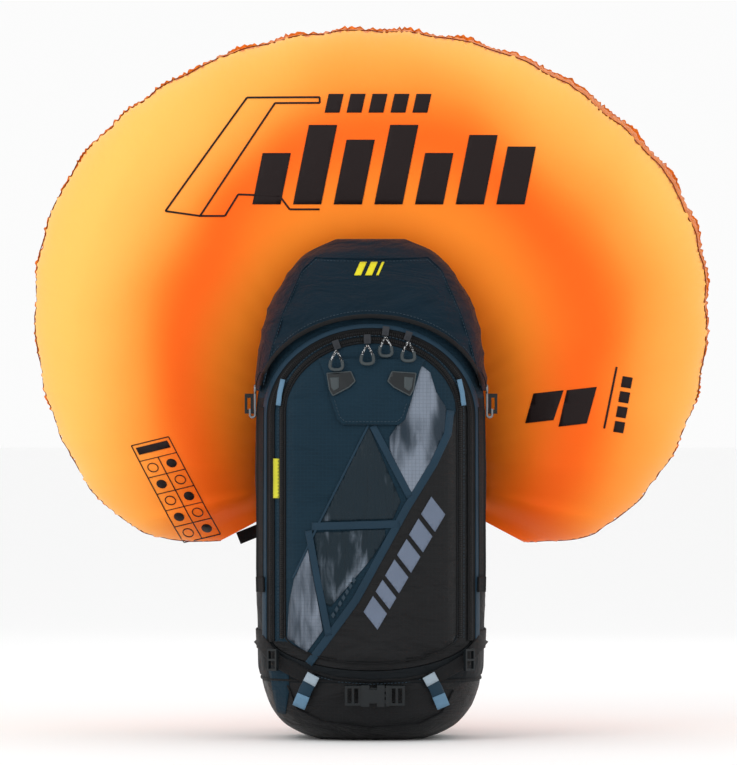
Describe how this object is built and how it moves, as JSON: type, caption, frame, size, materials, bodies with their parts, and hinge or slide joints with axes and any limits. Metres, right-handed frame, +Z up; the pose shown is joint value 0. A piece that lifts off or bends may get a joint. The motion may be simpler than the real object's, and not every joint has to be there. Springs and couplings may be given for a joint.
{
  "type": "avalanche airbag backpack",
  "caption": "Ski-touring backpack with its horseshoe avalanche airbag inflated behind and above it, gas inflator, harness and hip belt.",
  "frame": {"origin": "centre of the flat face under the pack, where it stands", "axes": "+Z up the pack, -Y out of the pack's front, +Y towards the wearer's back, +X to the right as seen from the front"},
  "size_m": [0.818, 0.4711, 0.857],
  "materials": {
    "pack_fabric": "matte",
    "black_fabric": "matte",
    "lid_fabric": "matte",
    "airbag_fabric": "satin",
    "webbing": "matte",
    "loop_fabric": "matte",
    "yellow_tab": "matte",
    "zip_tape": "matte",
    "foam": "matte",
    "buckle_plastic": "satin",
    "grey_plastic": "satin",
    "zip_metal": "satin",
    "hook_metal": "satin",
    "stay_metal": "satin",
    "manifold_metal": "satin",
    "cartridge_steel": "gloss",
    "pin_steel": "satin",
    "button_plastic": "satin",
    "valve_rubber": "matte",
    "trigger_plastic": "satin",
    "cable_housing": "satin"
  },
  "bodies": {
    "bag": {"base_panel": "black_fabric", "back_panel": "black_fabric", "collar": "black_fabric", "left_side_panel": "pack_fabric", "right_side_panel": "pack_fabric", "divider_panel": "black_fabric", "outer_zip": "zip_tape", "side_webbing": "webbing", "side_hardware": "buckle_plastic", "tool_loops": "loop_fabric", "base_buckle_socket": "buckle_plastic", "back_pads": "foam", "frame_stay": "stay_metal", "left_shoulder_strap": "foam", "right_shoulder_strap": "foam", "strap_webbing": "webbing", "strap_locks": "buckle_plastic", "airbag": "airbag_fabric", "airbag_neck": "airbag_fabric", "airbag_anchors": "webbing", "inflator_manifold": "manifold_metal", "inlet_duct": "manifold_metal", "cartridge_cradle": "buckle_plastic", "trigger_socket": "buckle_plastic", "trigger_cable": "cable_housing"},
    "lid": {"lid": "lid_fabric"},
    "front_door": {"front_panel": "pack_fabric", "front_pocket": "pack_fabric", "inner_zip": "zip_tape", "yellow_tab": "yellow_tab"},
    "tool_flap": {"tool_flap": "pack_fabric", "flap_hooks": "grey_plastic"},
    "left_lid_hook": {"left_lid_hook": "hook_metal"},
    "right_lid_hook": {"right_lid_hook": "hook_metal"},
    "base_buckle_prongs": {"base_buckle_prongs": "buckle_plastic"},
    "haul_loop": {"haul_loop": "webbing"},
    "sternum_strap": {"sternum_webbing": "webbing", "sternum_buckle": "buckle_plastic"},
    "left_hip_wing": {"left_hip_wing": "foam", "left_hip_webbing": "webbing", "hip_buckle_socket": "buckle_plastic"},
    "right_hip_wing": {"right_hip_wing": "foam", "right_hip_webbing": "webbing", "hip_buckle_prongs": "buckle_plastic"},
    "check_valve_flap": {"check_valve_flap": "valve_rubber"},
    "argon_cartridge": {"argon_cartridge": "cartridge_steel"},
    "co2_cartridge": {"co2_cartridge": "cartridge_steel"},
    "argon_piercing_pin": {"argon_piercing_pin": "pin_steel"},
    "co2_piercing_pin": {"co2_piercing_pin": "pin_steel"},
    "deflate_button": {"deflate_button": "button_plastic"},
    "trigger_handle": {"trigger_handle": "trigger_plastic"},
    "inner_left_pull": {"inner_left_pull": "grey_plastic"},
    "inner_left_pull_slider": {"inner_left_pull_slider": "zip_metal"},
    "inner_right_pull": {"inner_right_pull": "grey_plastic"},
    "inner_right_pull_slider": {"inner_right_pull_slider": "zip_metal"},
    "outer_left_pull": {"outer_left_pull": "grey_plastic"},
    "outer_left_pull_slider": {"outer_left_pull_slider": "zip_metal"},
    "outer_right_pull": {"outer_right_pull": "grey_plastic"},
    "outer_right_pull_slider": {"outer_right_pull_slider": "zip_metal"}
  },
  "joints": [
    {"name": "lid_hinge", "type": "hinge", "parent": "bag", "child": "lid", "pos_m": [0, 0.03, 0.597], "axis": [-1, 0, 0], "range_deg": [0, 90]},
    {"name": "door_hinge", "type": "hinge", "parent": "bag", "child": "front_door", "pos_m": [0, -0.137, 0.084], "axis": [1, 0, 0], "range_deg": [0, 80]},
    {"name": "tool_flap_hinge", "type": "hinge", "parent": "front_door", "child": "tool_flap", "pos_m": [0, -0.1225, 0.4355], "axis": [-1, 0, 0], "range_deg": [0, 75]},
    {"name": "left_lid_hook_swing", "type": "hinge", "parent": "lid", "child": "left_lid_hook", "pos_m": [-0.138, -0.073, 0.4176], "axis": [1, 0, 0], "range_deg": [-30, 30]},
    {"name": "right_lid_hook_swing", "type": "hinge", "parent": "lid", "child": "right_lid_hook", "pos_m": [0.138, -0.073, 0.4176], "axis": [1, 0, 0], "range_deg": [-30, 30]},
    {"name": "base_buckle_release", "type": "slide", "parent": "bag", "child": "base_buckle_prongs", "axis": [1, 0, 0], "range_m": [0, 0.025]},
    {"name": "haul_loop_swing", "type": "hinge", "parent": "bag", "child": "haul_loop", "pos_m": [0, 0.109, 0.4], "axis": [-1, 0, 0], "range_deg": [0, 80]},
    {"name": "sternum_height", "type": "slide", "parent": "bag", "child": "sternum_strap", "axis": [0, 0, 1], "range_m": [-0.02, 0.02]},
    {"name": "left_hip_wing_swing", "type": "hinge", "parent": "bag", "child": "left_hip_wing", "pos_m": [-0.1085, 0.117, 0.097], "axis": [0, 0, 1], "range_deg": [0, 45]},
    {"name": "right_hip_wing_swing", "type": "hinge", "parent": "bag", "child": "right_hip_wing", "pos_m": [0.1085, 0.117, 0.097], "axis": [0, 0, -1], "range_deg": [0, 45]},
    {"name": "check_valve_open", "type": "hinge", "parent": "bag", "child": "check_valve_flap", "pos_m": [0, 0.0826, 0.484], "axis": [-1, 0, 0], "range_deg": [0, 40]},
    {"name": "argon_cartridge_unscrew", "type": "hinge", "parent": "bag", "child": "argon_cartridge", "pos_m": [-0.027, 0.068, 0.43], "axis": [0, 0, 1], "continuous": true},
    {"name": "co2_cartridge_unscrew", "type": "hinge", "parent": "bag", "child": "co2_cartridge", "pos_m": [0.027, 0.068, 0.43], "axis": [0, 0, 1], "continuous": true},
    {"name": "trigger_pull", "type": "slide", "parent": "bag", "child": "trigger_handle", "axis": [0, 0, -1], "range_m": [0, 0.06]},
    {"name": "argon_pin_strike", "type": "slide", "parent": "bag", "child": "argon_piercing_pin", "axis": [0, 0, -1], "range_m": [0, 0.008]},
    {"name": "co2_pin_strike", "type": "slide", "parent": "bag", "child": "co2_piercing_pin", "axis": [0, 0, -1], "range_m": [0, 0.008]},
    {"name": "deflate_button_press", "type": "slide", "parent": "bag", "child": "deflate_button", "axis": [0, 1, 0], "range_m": [0, 0.003], "stiffness_N_per_m": 300},
    {"name": "inner_left_slider_travel", "type": "hinge", "parent": "front_door", "child": "inner_left_pull_slider", "pos_m": [0, -0.1114, 0.351], "axis": [0, -1, 0], "range_deg": [0, 16]},
    {"name": "inner_left_pull_swing", "type": "hinge", "parent": "inner_left_pull_slider", "child": "inner_left_pull", "pos_m": [-0.04102, -0.1179, 0.46814], "axis": [-1, 0, 0], "range_deg": [0, 70]},
    {"name": "inner_right_slider_travel", "type": "hinge", "parent": "front_door", "child": "inner_right_pull_slider", "pos_m": [0, -0.111, 0.351], "axis": [0, -1, 0], "range_deg": [0, 6]},
    {"name": "inner_right_pull_swing", "type": "hinge", "parent": "inner_right_pull_slider", "child": "inner_right_pull", "pos_m": [-0.0044, -0.1175, 0.47492], "axis": [-1, 0, 0], "range_deg": [0, 70]},
    {"name": "outer_left_slider_travel", "type": "hinge", "parent": "front_door", "child": "outer_left_pull_slider", "pos_m": [0, -0.1042, 0.345], "axis": [0, 1, 0], "range_deg": [0, 2.5]},
    {"name": "outer_left_pull_swing", "type": "hinge", "parent": "outer_left_pull_slider", "child": "outer_left_pull", "pos_m": [0.01737, -0.1107, 0.48444], "axis": [-1, 0, 0], "range_deg": [0, 70]},
    {"name": "outer_right_slider_travel", "type": "hinge", "parent": "front_door", "child": "outer_right_pull_slider", "pos_m": [0, -0.1044, 0.345], "axis": [0, 1, 0], "range_deg": [0, 12]},
    {"name": "outer_right_pull_swing", "type": "hinge", "parent": "outer_right_pull_slider", "child": "outer_right_pull", "pos_m": [0.04403, -0.1109, 0.47853], "axis": [-1, 0, 0], "range_deg": [0, 70]}
  ],
  "couplings": [
    {"joint": "argon_pin_strike", "follows": "trigger_pull", "ratio": 0.1333},
    {"joint": "co2_pin_strike", "follows": "trigger_pull", "ratio": 0.1333}
  ]
}
